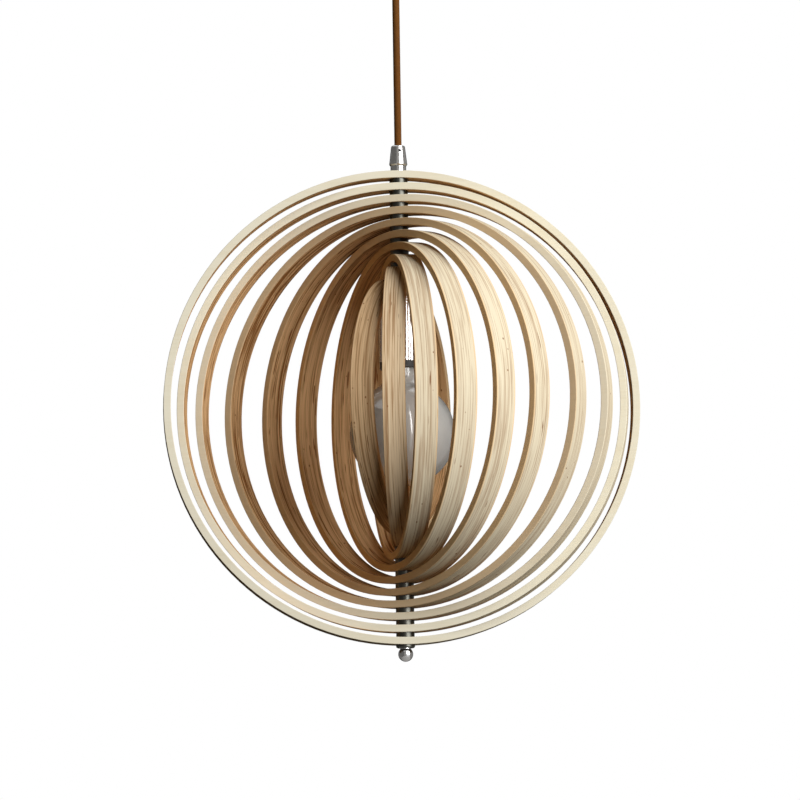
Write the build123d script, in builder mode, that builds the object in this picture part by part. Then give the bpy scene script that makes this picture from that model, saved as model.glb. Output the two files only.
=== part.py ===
from build123d import *
import os
from math import atan2, cos, radians, sin, sqrt

# Globe pendant light: plywood hoops, one inside the other, turn on one upright axis round a bulb.
# Millimetres and degrees. The origin is on the ceiling, on the lamp's axis, and +Z is up.
# The photograph was taken from the -Y side.

# Hoops, cut from flat plywood sheet
hoop_turns = (-4, 6.2, 15.7, 29.4, 43.9, 55.2, 67.5, 80.8, 93.2, 108)  # clockwise from +X, seen from above
hoop_pitch = 12.7  # step in radius from one hoop to the next
hoop_wall = 7.6  # along a radius
hoop_depth = 23.0  # thickness of the sheet
hoop_edge_round = 0.6
seat_depth = 0.5  # flat seats milled in a hoop for the pieces that bear on it
seat_clearance = 0.5

# Running clearances
turning_clearance = 0.08  # hoop bore round the stem or the stud
face_clearance = 0.05  # flat faces that turn on each other
thread_clearance = 0.05

# Stem and spacers
stem_diameter = 10.0
stem_bore = 8.0
spacer_diameter = 19.0
stem_washer_height = 1.5
nut_across_flats = 17.0
nut_height = 5.0
nut_chamfer = 0.6
tube_end = 2.0  # a threaded tube or stud stands out of its nut by this much

# Cord and its grips
cord_diameter = 7.6
cord_drop = 165.4  # free cord between the two grips
cord_clearance = 0.4  # grip bore round the cord
cord_gap = 0.3  # between the swinging cord's round end and the clamped end
core_diameter = 2.2
core_circle = 1.7  # radius at which the cores lie in the cord
core_bend = 4.0
grip_height = 21.7
grip_wide_diameter = 19.0
grip_mouth_diameter = 14.3
grip_chamfer_height = 1.6
grip_chamfer_width = 1.2
grip_mouth_round = 1.8
grip_thread_depth = 9.0
grip_screw_diameter = 3.0
grip_screw_drop = 5.8  # below the mouth
grip_screw_turn = -76.0  # round the axis from +X
grip_screw_socket = 1.5
grip_screw_socket_depth = 1.2
collar_diameter = 16.4
collar_height = 6.5
collar_chamfer = 0.5

# Ceiling fitting
canopy_diameter = 100.0
canopy_height = 26.0
canopy_wall = 1.2
canopy_round = 6.0
strap_width = 22.0
strap_thickness = 2.0
strap_slot_spacing = 60.0
strap_slot_length = 16.0
strap_slot_width = 5.0
ear_width = 12.0
ear_drop = 12.0
ear_clearance = 0.4
side_screw_diameter = 4.0
side_screw_drop = 8.0  # below the ceiling
side_screw_length = 8.0
side_screw_head_diameter = 7.0
side_screw_head_height = 2.4
screw_slot_width = 0.8
screw_slot_depth = 0.7

# Terminal block under the strap
block_offset = 9.0  # from the axis to the block's near face
block_width = 11.0
block_height = 11.0
sleeve_pitch = 9.0
sleeve_diameter = 5.0
sleeve_bore = 2.8
sleeve_clearance = 0.1
clamp_screw_diameter = 2.4
clamp_screw_inset = 2.8  # from the sleeve's end
block_screw_diameter = 3.0
block_screw_head_diameter = 5.0
block_screw_head_height = 2.0

# Lampholder
cover_diameter = 46.5
cover_height = 73.4
cover_wall = 1.2
cover_round = 6.0
rim_height = 6.6
rim_inset = 0.6
holder_clearance = 0.2  # between the insulating body and what it fits
mouth_clearance = 2.0  # round the bulb's neck
floor_thickness = 9.0
contact_bore_diameter = 24.0
contact_thickness = 0.6
contact_width = 6.0
contact_rise = 4.6  # from the bulb's tip up to the body's floor
contact_gap = 0.1
rivet_diameter = 2.0
shell_wall = 0.5
shell_clearance = 0.25
shell_tab_width = 4.0
post_circle = 12.5
post_length = 7.0  # along a radius
post_width = 5.0
post_height = 6.0
post_screw_diameter = 2.4
post_screw_depth = 3.0
post_screw_head_diameter = 4.0
post_screw_head_height = 1.4

# Bulb
bulb_diameter = 109.5
bulb_wall = 1.2
bulb_neck_diameter = 33.0
bulb_flare_radius = 20.0
bulb_neck_exposed = 3.0
bulb_neck_seated = 3.0
bulb_tail_length = 5.0  # glass inside the cap
bulb_clearance = 32.82  # free height between the bulb and the bottom stud
cap_diameter = 26.4
cap_wall = 0.5
cap_height = 19.0
cap_pitch = 3.62
cap_ridge = 0.6
cap_fit = 0.3  # cap to glass
insulator_height = 5.0
tip_diameter = 9.0
tip_height = 1.2
board_thickness = 1.6
board_clearance = 0.3
led_count = 8
led_side = 3.0
led_height = 0.8
driver_width = 15.0
driver_thickness = 1.6
driver_headroom = 1.5

# Bottom pivot
stud_diameter = 8.0
stud_nut_across_flats = 13.0
stud_nut_height = 6.5
inner_washer_height = 1.6
finial_washer_diameter = 19.6
finial_washer_height = 3.6
finial_washer_chamfer = 1.2
finial_neck_diameter = 11.0
finial_neck_height = 1.0
finial_thread_depth = 8.0
finial_thread_gap = 0.5
ball_diameter = 15.4

# Radii that several pieces share
cord_radius = cord_diameter / 2
core_radius = core_diameter / 2
stem_radius = stem_diameter / 2
stem_hole_radius = stem_radius + thread_clearance
stud_radius = stud_diameter / 2
stud_hole_radius = stud_radius + thread_clearance
spacer_radius = spacer_diameter / 2
cover_radius = cover_diameter / 2
bulb_radius = bulb_diameter / 2
neck_radius = bulb_neck_diameter / 2
ball_radius = ball_diameter / 2
cap_radius = cap_diameter / 2
tail_radius = cap_radius - cap_ridge - cap_wall - cap_fit
shell_radius = cap_radius + shell_clearance

# Heights inside the lampholder, counted up from its mouth
shoulder_low = bulb_neck_seated
shoulder_high = shoulder_low + neck_radius - tail_radius
cap_low = shoulder_high + cap_fit
cap_high = cap_low + cap_height
tip_low = cap_high + insulator_height
tip_high = tip_low + tip_height
floor_low = tip_high + contact_gap + contact_rise
floor_high = floor_low + floor_thickness
post_high = floor_high + post_height

# The bulb's globe meets its neck in a flare that is tangent to both
flare_rise = sqrt((bulb_radius + bulb_flare_radius) ** 2 - (neck_radius + bulb_flare_radius) ** 2)
bulb_drop = bulb_neck_exposed + flare_rise

# What hangs between the innermost hoop's two seats sets that hoop's size, and so all the others
hanging_height = stem_washer_height + nut_height + cover_height + rim_height + bulb_drop + bulb_radius
standing_height = tube_end + stud_nut_height + inner_washer_height
seat_to_seat = hanging_height + bulb_clearance + standing_height + 2 * face_clearance
inner_hoop_radius = seat_to_seat / 2 - seat_depth + hoop_wall
hoop_count = len(hoop_turns)
hoop_radii = [inner_hoop_radius + hoop_pitch * (hoop_count - 1 - i) for i in range(hoop_count)]
outer_radius = hoop_radii[0]
spacer_height = hoop_pitch - hoop_wall + 2 * seat_depth - 2 * face_clearance
seat_radius = max(spacer_diameter, finial_washer_diameter) / 2 + seat_clearance

# Heights of the whole lamp, from the ceiling down
canopy_floor_z = -canopy_height
canopy_grip_z = canopy_floor_z - collar_height
canopy_mouth_z = canopy_grip_z - grip_height
lamp_mouth_z = canopy_mouth_z - cord_drop
lamp_grip_z = lamp_mouth_z - grip_height
lamp_collar_z = lamp_grip_z - collar_height
globe_z = lamp_collar_z - face_clearance + seat_depth - outer_radius
stem_washer_z = globe_z + seat_to_seat / 2 - face_clearance - stem_washer_height
stem_nut_z = stem_washer_z - nut_height
cover_rim_z = stem_nut_z - cover_height
holder_mouth_z = cover_rim_z - rim_height
bulb_z = holder_mouth_z - bulb_drop
holder_nut_z = stem_nut_z - cover_wall - nut_height
stem_end_z = holder_nut_z - tube_end
inner_washer_z = globe_z - seat_to_seat / 2 + face_clearance
stud_nut_z = inner_washer_z + inner_washer_height
stud_top_z = stud_nut_z + stud_nut_height + tube_end
finial_washer_z = globe_z - outer_radius + seat_depth - face_clearance - finial_washer_height
ball_z = finial_washer_z - finial_neck_height - sqrt(ball_radius**2 - (finial_neck_diameter / 2) ** 2)
core_angles = (0, 120, 240)

os.makedirs("parts", exist_ok=True)


def keep(piece, node):
    """Label a finished piece and write it to its own file."""
    piece.part.label = node
    export_step(piece.part, f"parts/{node}.step")


def around(radius, angle, z):
    """A point at a radius and an angle round the lamp's axis."""
    return (radius * cos(radians(angle)), radius * sin(radians(angle)), z)


def radial_plane(angle, radius, z):
    """A plane that faces outwards at an angle round the axis, with its y direction up."""
    outward = around(1, angle, 0)
    sideways = around(1, angle + 90, 0)
    return Plane(origin=around(radius, angle, z), x_dir=sideways, z_dir=outward)


def ring_piece(low, height, radius, hole_radius):
    """A plain washer, spacer or tube on the axis."""
    with BuildPart() as piece:
        with BuildSketch(Plane.XY.offset(low)):
            Circle(radius)
            Circle(hole_radius, mode=Mode.SUBTRACT)
        extrude(amount=height)
    return piece


def hex_nut(low, height, across_flats, hole_radius):
    """A hexagonal nut on the axis, with its corners eased."""
    with BuildPart() as nut:
        with BuildSketch(Plane.XY.offset(low)):
            RegularPolygon(across_flats / 2, 6, major_radius=False)
        extrude(amount=height)
        chamfer(nut.edges().group_by(Axis.Z)[0] + nut.edges().group_by(Axis.Z)[-1], nut_chamfer)
        with BuildSketch(Plane.XY.offset(low)):
            Circle(hole_radius)
        extrude(amount=height, mode=Mode.SUBTRACT)
    return nut


def wire(points, radius, bend):
    """A round wire along straight runs with rounded corners."""
    start = Vector(*points[0])
    with BuildPart() as piece:
        with BuildLine():
            FilletPolyline(*points, radius=bend)
        with BuildSketch(Plane(origin=start, z_dir=Vector(*points[1]) - start)):
            Circle(radius)
        sweep()
    return piece


def cord_grip(wide_z, toward):
    """The tapered grip, from its wide end at wide_z. toward is 1 with the mouth up and -1 with it down."""
    mouth_z = wide_z + toward * grip_height
    wide_radius = grip_wide_diameter / 2
    mouth_radius = grip_mouth_diameter / 2
    bore_radius = cord_radius + cord_clearance
    with BuildPart() as grip:
        with BuildSketch(Plane.XZ):
            with BuildLine():
                Polyline(
                    (0, wide_z),
                    (wide_radius - grip_chamfer_width, wide_z),
                    (wide_radius, wide_z + toward * grip_chamfer_height),
                    (mouth_radius, mouth_z),
                    (0, mouth_z),
                    close=True,
                )
            make_face()
        revolve(axis=Axis.Z)
        mouth_edge = grip.edges().filter_by(GeomType.CIRCLE).sort_by(Axis.Z)[-1 if toward > 0 else 0]
        fillet(mouth_edge, grip_mouth_round)
        with BuildSketch(Plane.XY.offset(wide_z)):
            Circle(bore_radius)
        extrude(amount=toward * grip_height, mode=Mode.SUBTRACT)
        with BuildSketch(Plane.XY.offset(wide_z)):
            Circle(stem_hole_radius)
        extrude(amount=toward * grip_thread_depth, mode=Mode.SUBTRACT)
        with BuildSketch(radial_plane(grip_screw_turn, 0, mouth_z - toward * grip_screw_drop)):
            Circle(grip_screw_diameter / 2 + thread_clearance)
        extrude(amount=wide_radius, mode=Mode.SUBTRACT)
    return grip


def grip_screw(wide_z, toward):
    """The headless screw that clamps the cord, level with the grip's tapered side."""
    z = wide_z + toward * (grip_height - grip_screw_drop)
    rise = grip_height - grip_chamfer_height
    taper = (grip_wide_diameter - grip_mouth_diameter) / 2 / rise
    outer = grip_mouth_diameter / 2 + taper * (grip_screw_drop - grip_screw_diameter / 2)
    with BuildPart() as screw:
        with BuildSketch(radial_plane(grip_screw_turn, cord_radius, z)):
            Circle(grip_screw_diameter / 2)
        extrude(amount=outer - cord_radius)
        with BuildSketch(radial_plane(grip_screw_turn, outer, z)):
            RegularPolygon(grip_screw_socket / 2, 6, major_radius=False)
        extrude(amount=-grip_screw_socket_depth, mode=Mode.SUBTRACT)
    return screw


def grip_collar(low):
    """The short collar that a grip bears on."""
    with BuildPart() as collar:
        with BuildSketch(Plane.XY.offset(low)):
            Circle(collar_diameter / 2)
        extrude(amount=collar_height)
        chamfer(collar.edges().filter_by(GeomType.CIRCLE), collar_chamfer)
        with BuildSketch(Plane.XY.offset(low)):
            Circle(stem_hole_radius)
        extrude(amount=collar_height, mode=Mode.SUBTRACT)
    return collar


def clamped_cord(mouth_z, end_z):
    """The jacketed end of the cord that a grip holds, from inside its mouth to where it is stripped."""
    toward = 1 if end_z > mouth_z else -1
    start_z = mouth_z + toward * (cord_radius + cord_gap)
    with BuildPart() as cord_end:
        with BuildSketch(Plane.XY.offset(start_z)):
            Circle(cord_radius)
        extrude(amount=end_z - start_z)
    return cord_end


def hoop(radius, turn):
    """One plywood hoop, with a bore and flat seats where the stem and the stud pass through."""
    inner = radius - hoop_wall
    face = Plane(origin=(0, 0, globe_z), x_dir=around(1, -turn, 0), z_dir=around(1, -turn - 90, 0))
    with BuildPart() as piece:
        with BuildSketch(face):
            Circle(radius)
            Circle(inner, mode=Mode.SUBTRACT)
        extrude(amount=hoop_depth / 2, both=True)
        fillet(piece.edges().filter_by(GeomType.CIRCLE), hoop_edge_round)
        for side, hole in ((1, stem_radius), (-1, stud_radius)):
            with BuildSketch(Plane.XY.offset(globe_z)):
                Circle(hole + turning_clearance)
            extrude(amount=side * (radius + hoop_wall), mode=Mode.SUBTRACT)
            with BuildSketch(Plane.XY.offset(globe_z + side * (radius - seat_depth))):
                Circle(seat_radius)
            extrude(amount=side * hoop_wall, mode=Mode.SUBTRACT)
            with BuildSketch(Plane.XY.offset(globe_z + side * (inner + seat_depth))):
                Circle(seat_radius)
            extrude(amount=-side * hoop_wall, mode=Mode.SUBTRACT)
    return piece


def spacers(side, hole_radius):
    """The spacers between the hoops, at the top (side 1) or at the bottom (side -1)."""
    with BuildPart() as group:
        for radius in hoop_radii[1:]:
            with BuildSketch(Plane.XY.offset(globe_z + side * (radius - seat_depth + face_clearance))):
                Circle(spacer_radius)
                Circle(hole_radius, mode=Mode.SUBTRACT)
            extrude(amount=side * spacer_height)
    return group


# Ceiling strap: a flat bar with two slots and an ear turned down at each end
canopy_inner_radius = canopy_diameter / 2 - canopy_wall
ear_face = sqrt(canopy_inner_radius**2 - (strap_width / 2) ** 2) - ear_clearance
ear_low = -strap_thickness - ear_drop
block_screw_place = (block_offset + block_width / 2, sleeve_pitch / 2)
with BuildPart() as ceiling_strap:
    with BuildSketch(Plane.XY):
        Rectangle(2 * ear_face, strap_width)
        with Locations((-strap_slot_spacing / 2, 0), (strap_slot_spacing / 2, 0)):
            SlotOverall(strap_slot_length, strap_slot_width, mode=Mode.SUBTRACT)
        with Locations(block_screw_place):
            Circle(block_screw_diameter / 2 + thread_clearance, mode=Mode.SUBTRACT)
    extrude(amount=-strap_thickness)
    for side in (-1, 1):
        with BuildSketch(Plane.XY.offset(-strap_thickness)):
            with Locations((side * (ear_face - strap_thickness / 2), 0)):
                Rectangle(strap_thickness, ear_width)
        extrude(amount=-ear_drop)
    with BuildSketch(Plane.YZ.offset(-ear_face)):
        with Locations((0, -side_screw_drop)):
            Circle(side_screw_diameter / 2 + thread_clearance)
    extrude(amount=2 * ear_face, mode=Mode.SUBTRACT)
keep(ceiling_strap, "ceiling_strap")

# Canopy shell: a drawn cup, open upwards, with a hole for the nipple and two for its side screws
with BuildPart() as canopy_shell:
    with BuildSketch(Plane.XY.offset(canopy_floor_z)):
        Circle(canopy_diameter / 2)
    extrude(amount=canopy_height)
    fillet(canopy_shell.edges().filter_by(GeomType.CIRCLE).sort_by(Axis.Z)[0], canopy_round)
    offset(amount=-canopy_wall, openings=canopy_shell.faces().sort_by(Axis.Z)[-1])
    with BuildSketch(Plane.XY.offset(canopy_floor_z)):
        Circle(stem_hole_radius)
    extrude(amount=canopy_round, mode=Mode.SUBTRACT)
    with BuildSketch(Plane.YZ.offset(-canopy_diameter)):
        with Locations((0, -side_screw_drop)):
            Circle(side_screw_diameter / 2 + thread_clearance)
    extrude(amount=2 * canopy_diameter, mode=Mode.SUBTRACT)
keep(canopy_shell, "canopy_shell")

# Side screws: slotted, through the shell into the strap's ears
with BuildPart() as canopy_side_screws:
    for angle in (0, 180):
        head_plane = radial_plane(angle, canopy_diameter / 2, -side_screw_drop)
        head_end = radial_plane(angle, canopy_diameter / 2 + side_screw_head_height, -side_screw_drop)
        with BuildSketch(head_plane):
            Circle(side_screw_head_diameter / 2)
        extrude(amount=side_screw_head_height)
        with BuildSketch(head_plane):
            Circle(side_screw_diameter / 2)
        extrude(amount=-side_screw_length)
        with BuildSketch(head_end):
            Rectangle(side_screw_head_diameter, screw_slot_width)
        extrude(amount=-screw_slot_depth, mode=Mode.SUBTRACT)
keep(canopy_side_screws, "canopy_side_screws")

# Nipple, nut, collar and grip that carry the cord at the canopy
nipple_nut_z = canopy_floor_z + canopy_wall
nipple_top_z = nipple_nut_z + nut_height + tube_end
nipple_low_z = canopy_grip_z - grip_thread_depth
nipple_length = nipple_top_z - nipple_low_z
canopy_cord_z = nipple_top_z + tube_end
keep(ring_piece(nipple_low_z, nipple_length, stem_radius, stem_bore / 2), "canopy_nipple")
keep(hex_nut(nipple_nut_z, nut_height, nut_across_flats, stem_hole_radius), "canopy_nipple_nut")
keep(grip_collar(canopy_grip_z), "canopy_collar")
keep(cord_grip(canopy_grip_z, -1), "canopy_cord_grip")
keep(grip_screw(canopy_grip_z, -1), "canopy_grip_screw")
keep(clamped_cord(canopy_mouth_z, canopy_cord_z), "canopy_cord_end")

# Terminal block: three ways, each a brass sleeve with a screw at both ends
block_low_z = -strap_thickness - block_height
sleeve_z = -strap_thickness - block_height / 2
sleeve_places = [(side * sleeve_pitch, sleeve_z) for side in (0, 1, -1)]
clamp_places = [
    (block_offset + along, side * sleeve_pitch)
    for along in (clamp_screw_inset, block_width - clamp_screw_inset)
    for side in (0, 1, -1)
]
block_near_face = Plane.YZ.offset(block_offset)
with BuildPart() as terminal_block:
    with BuildSketch(Plane.XY.offset(block_low_z)):
        with Locations((block_offset + block_width / 2, 0)):
            Rectangle(block_width, 3 * sleeve_pitch + sleeve_pitch / 3)
    extrude(amount=block_height)
    with BuildSketch(block_near_face):
        with Locations(*sleeve_places):
            Circle(sleeve_diameter / 2 + sleeve_clearance)
    extrude(amount=block_width, mode=Mode.SUBTRACT)
    with BuildSketch(Plane.XY.offset(block_low_z)):
        with Locations(*clamp_places):
            Circle(clamp_screw_diameter / 2 + thread_clearance)
    extrude(amount=block_height / 2, mode=Mode.SUBTRACT)
    with BuildSketch(Plane.XY.offset(block_low_z)):
        with Locations(block_screw_place):
            Circle(block_screw_diameter / 2 + thread_clearance)
    extrude(amount=block_height, mode=Mode.SUBTRACT)
keep(terminal_block, "terminal_block")

with BuildPart() as terminal_sleeves:
    with BuildSketch(block_near_face):
        with Locations(*sleeve_places):
            Circle(sleeve_diameter / 2)
            Circle(sleeve_bore / 2, mode=Mode.SUBTRACT)
    extrude(amount=block_width)
    with BuildSketch(Plane.XY.offset(sleeve_z)):
        with Locations(*clamp_places):
            Circle(clamp_screw_diameter / 2 + thread_clearance)
    extrude(amount=-sleeve_diameter, mode=Mode.SUBTRACT)
keep(terminal_sleeves, "terminal_sleeves")

with BuildPart() as terminal_screws:
    with BuildSketch(Plane.XY.offset(block_low_z)):
        with Locations(*clamp_places):
            Circle(clamp_screw_diameter / 2)
    extrude(amount=sleeve_z - core_radius - block_low_z)
    with BuildSketch(Plane.XY.offset(block_low_z)):
        with Locations(*clamp_places):
            Rectangle(clamp_screw_diameter, screw_slot_width)
    extrude(amount=screw_slot_depth, mode=Mode.SUBTRACT)
keep(terminal_screws, "terminal_screws")

with BuildPart() as block_screw:
    with BuildSketch(Plane.XY.offset(block_low_z)):
        with Locations(block_screw_place):
            Circle(block_screw_diameter / 2)
    extrude(amount=-block_low_z)
    with BuildSketch(Plane.XY.offset(block_low_z)):
        with Locations(block_screw_place):
            Circle(block_screw_head_diameter / 2)
    extrude(amount=-block_screw_head_height)
    with BuildSketch(Plane.XY.offset(block_low_z - block_screw_head_height)):
        with Locations(block_screw_place):
            Rectangle(block_screw_head_diameter, screw_slot_width)
    extrude(amount=screw_slot_depth, mode=Mode.SUBTRACT)
keep(block_screw, "block_screw")

# Cores at the canopy: up out of the cord's end, then across into the sleeves
core_names = ("live_core", "neutral_core", "earth_core")
core_reach = block_offset + block_width / 2
for name, angle, (sleeve_y, _) in zip(core_names, core_angles, sleeve_places):
    route = [
        around(core_circle, angle, canopy_cord_z),
        around(core_circle, angle, sleeve_z),
        (block_offset - core_bend / 2, sleeve_y, sleeve_z),
        (core_reach, sleeve_y, sleeve_z),
    ]
    if sleeve_y == 0:
        del route[2]
    keep(wire(route, core_radius, core_bend / 2), f"canopy_{name}")

# Pendant cord: straight between the two grips, with a round end turning in each mouth
with BuildPart() as pendant_cord:
    with BuildSketch(Plane.XY.offset(lamp_mouth_z)):
        Circle(cord_radius)
    extrude(amount=cord_drop)
    with Locations((0, 0, lamp_mouth_z), (0, 0, canopy_mouth_z)):
        Sphere(cord_radius)
keep(pendant_cord, "pendant_cord")

# Grip, collar and stem that carry the lamp
stem_top_z = lamp_grip_z + grip_thread_depth
keep(cord_grip(lamp_grip_z, 1), "cord_grip")
keep(grip_screw(lamp_grip_z, 1), "cord_grip_screw")
keep(grip_collar(lamp_collar_z), "grip_collar")
keep(clamped_cord(lamp_mouth_z, stem_top_z), "cord_end")
keep(ring_piece(stem_end_z, stem_top_z - stem_end_z, stem_radius, stem_bore / 2), "stem_tube")
keep(spacers(1, stem_hole_radius), "top_spacers")
keep(ring_piece(stem_washer_z, stem_washer_height, spacer_radius, stem_hole_radius), "stem_washer")
keep(hex_nut(stem_nut_z, nut_height, nut_across_flats, stem_hole_radius), "stem_lock_nut")

# Lampholder cover: a deep cup with its mouth down
with BuildPart() as holder_cover:
    with BuildSketch(Plane.XY.offset(cover_rim_z)):
        Circle(cover_radius)
    extrude(amount=cover_height)
    fillet(holder_cover.edges().filter_by(GeomType.CIRCLE).sort_by(Axis.Z)[-1], cover_round)
    offset(amount=-cover_wall, openings=holder_cover.faces().sort_by(Axis.Z)[0])
    with BuildSketch(Plane.XY.offset(stem_nut_z)):
        Circle(stem_hole_radius)
    extrude(amount=-cover_round, mode=Mode.SUBTRACT)
keep(holder_cover, "holder_cover")
keep(hex_nut(holder_nut_z, nut_height, nut_across_flats, stem_hole_radius), "holder_nut")

# Insulating body: its rim shows under the cover, and its floor carries the contacts
shell_outer_radius = shell_radius + shell_wall
shell_high = cap_high + cap_wall
body_radius = cover_radius - cover_wall - holder_clearance
shell_tab_circle = shell_radius + shell_wall / 2
neutral_tab_plane = Plane(
    origin=around(shell_tab_circle, core_angles[1], holder_mouth_z + shell_high),
    x_dir=around(1, core_angles[1], 0),
    z_dir=(0, 0, 1),
)
rivet_place = (post_circle - post_length / 2 + rivet_diameter / 2, 0)
with BuildPart() as holder_body:
    with BuildSketch(Plane.XY.offset(holder_mouth_z)):
        Circle(cover_radius - rim_inset)
    extrude(amount=rim_height)
    with BuildSketch(Plane.XY.offset(cover_rim_z)):
        Circle(body_radius)
    extrude(amount=floor_high - rim_height)
    with BuildSketch(Plane.XY.offset(holder_mouth_z)):
        Circle(neck_radius + mouth_clearance)
    extrude(amount=cap_low, mode=Mode.SUBTRACT)
    with BuildSketch(Plane.XY.offset(holder_mouth_z)):
        Circle(shell_outer_radius + holder_clearance)
    extrude(amount=shell_high, mode=Mode.SUBTRACT)
    with BuildSketch(Plane.XY.offset(holder_mouth_z)):
        Circle(contact_bore_diameter / 2)
    extrude(amount=floor_low, mode=Mode.SUBTRACT)
    with BuildSketch(neutral_tab_plane):
        Rectangle(shell_wall + 2 * holder_clearance, shell_tab_width + 2 * holder_clearance)
    extrude(amount=floor_high, mode=Mode.SUBTRACT)
    with BuildSketch(Plane.XY.offset(holder_mouth_z + floor_low)):
        with Locations(rivet_place):
            Circle(rivet_diameter / 2 + thread_clearance)
    extrude(amount=floor_thickness, mode=Mode.SUBTRACT)
keep(holder_body, "holder_body")

# Screw shell: takes the bulb's cap, with a tab up to the neutral post
with BuildPart() as holder_screw_shell:
    with BuildSketch(Plane.XY.offset(holder_mouth_z + cap_low)):
        Circle(shell_outer_radius)
        Circle(shell_radius, mode=Mode.SUBTRACT)
    extrude(amount=shell_high - cap_low)
    with BuildSketch(neutral_tab_plane):
        Rectangle(shell_wall, shell_tab_width)
    extrude(amount=floor_high - shell_high)
keep(holder_screw_shell, "holder_screw_shell")

# Centre contact: a sprung tongue under the floor, riveted up to the live post
tongue_tip_z = holder_mouth_z + tip_high + contact_gap
tongue_root_z = holder_mouth_z + floor_low
tongue_end_x = sqrt((contact_bore_diameter / 2 - holder_clearance) ** 2 - (contact_width / 2) ** 2)
tongue_bend_x = tongue_end_x - 2 * rivet_diameter
tongue_rest_x = tip_diameter / 2
with BuildPart() as holder_centre_contact:
    with BuildSketch(Plane.XZ):
        with BuildLine():
            Polyline(
                (tongue_end_x, tongue_root_z),
                (tongue_bend_x, tongue_root_z),
                (-tongue_rest_x / 2, tongue_tip_z + contact_thickness),
                (-tongue_rest_x, tongue_tip_z + contact_thickness),
                (-tongue_rest_x, tongue_tip_z),
                (-tongue_rest_x / 2, tongue_tip_z),
                (tongue_bend_x, tongue_root_z - contact_thickness),
                (tongue_end_x, tongue_root_z - contact_thickness),
                close=True,
            )
        make_face()
    extrude(amount=contact_width / 2, both=True)
    with BuildSketch(Plane.XY.offset(tongue_root_z)):
        with Locations(rivet_place):
            Circle(rivet_diameter / 2)
    extrude(amount=floor_thickness)
keep(holder_centre_contact, "holder_centre_contact")

# Terminal posts on the body, and their screws
post_low_z = holder_mouth_z + floor_high
post_top_z = holder_mouth_z + post_high
post_screw_z = post_low_z + post_height / 2
post_face_circle = post_circle + post_length / 2
with BuildPart() as holder_terminals:
    for angle in core_angles:
        with BuildSketch(Plane(around(post_circle, angle, post_low_z), around(1, angle, 0), (0, 0, 1))):
            Rectangle(post_length, post_width)
        extrude(amount=post_height)
        with BuildSketch(radial_plane(angle, post_face_circle, post_screw_z)):
            Circle(post_screw_diameter / 2 + thread_clearance)
        extrude(amount=-post_screw_depth - thread_clearance, mode=Mode.SUBTRACT)
keep(holder_terminals, "holder_terminals")

with BuildPart() as holder_terminal_screws:
    for angle in core_angles:
        with BuildSketch(radial_plane(angle, post_face_circle, post_screw_z)):
            Circle(post_screw_diameter / 2)
        extrude(amount=-post_screw_depth)
        with BuildSketch(radial_plane(angle, post_face_circle, post_screw_z)):
            Circle(post_screw_head_diameter / 2)
        extrude(amount=post_screw_head_height)
        with BuildSketch(radial_plane(angle, post_face_circle + post_screw_head_height, post_screw_z)):
            Rectangle(post_screw_head_diameter, screw_slot_width)
        extrude(amount=-screw_slot_depth, mode=Mode.SUBTRACT)
keep(holder_terminal_screws, "holder_terminal_screws")

# Cores in the lamp: down the stem, then out to the posts
core_fan_z = stem_end_z - core_bend
core_drop_z = post_top_z + core_bend
for name, angle in zip(core_names, core_angles):
    route = [
        around(core_circle, angle, stem_top_z),
        around(core_circle, angle, core_fan_z),
        around(post_circle, angle, core_drop_z),
        around(post_circle, angle, post_top_z),
    ]
    keep(wire(route, core_radius, core_bend), name)

# Bulb glass: a globe that flares into its neck, open where it enters the cap
flare_x = neck_radius + bulb_flare_radius
flare_z = bulb_z + flare_rise
flare_angle = atan2(flare_rise, flare_x)


def glass_points(inset):
    """Points down the glass at a depth inside its outer face, with a middle point for each arc."""
    corner = inset * (sqrt(2) - 1)
    globe = bulb_radius - inset
    flare = bulb_flare_radius + inset
    meeting = (globe * cos(flare_angle), bulb_z + globe * sin(flare_angle))
    half_flare = (radians(180) + flare_angle + radians(180)) / 2
    half_globe = (flare_angle - radians(90)) / 2
    return {
        "tail_top": (tail_radius - inset, holder_mouth_z + shoulder_high + bulb_tail_length),
        "tail_low": (tail_radius - inset, holder_mouth_z + shoulder_high - corner),
        "neck_top": (neck_radius - inset, holder_mouth_z + shoulder_low - corner),
        "neck_low": (neck_radius - inset, flare_z),
        "flare_middle": (flare_x + flare * cos(half_flare), flare_z + flare * sin(half_flare)),
        "meeting": meeting,
        "globe_middle": (globe * cos(half_globe), bulb_z + globe * sin(half_globe)),
        "pole": (0, bulb_z - globe),
    }


outside = glass_points(0)
inside = glass_points(bulb_wall)
with BuildPart() as bulb_glass:
    with BuildSketch(Plane.XZ):
        with BuildLine():
            for skin in (outside, inside):
                Polyline(skin["tail_top"], skin["tail_low"], skin["neck_top"], skin["neck_low"])
                ThreePointArc(skin["neck_low"], skin["flare_middle"], skin["meeting"])
                ThreePointArc(skin["meeting"], skin["globe_middle"], skin["pole"])
            Line(outside["tail_top"], inside["tail_top"])
            Line(outside["pole"], inside["pole"])
        make_face()
    revolve(axis=Axis.Z)
keep(bulb_glass, "bulb_glass")

# Bulb cap: thin metal with a rounded ridge for each turn of its thread
cap_root_radius = cap_radius - cap_ridge
cap_low_z = holder_mouth_z + cap_low
ridge_count = int((cap_height - cap_pitch) / cap_pitch)
with BuildPart() as bulb_cap:
    with BuildSketch(Plane.XY.offset(cap_low_z)):
        Circle(cap_root_radius)
    extrude(amount=cap_height)
    for turn in range(ridge_count):
        with BuildSketch(Plane.XZ):
            with Locations((cap_root_radius, cap_low_z + cap_pitch * (turn + 1))):
                Circle(cap_ridge)
        revolve(axis=Axis.Z)
    with BuildSketch(Plane.XY.offset(cap_low_z)):
        Circle(cap_root_radius - cap_wall)
    extrude(amount=cap_height, mode=Mode.SUBTRACT)
keep(bulb_cap, "bulb_cap")

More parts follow.
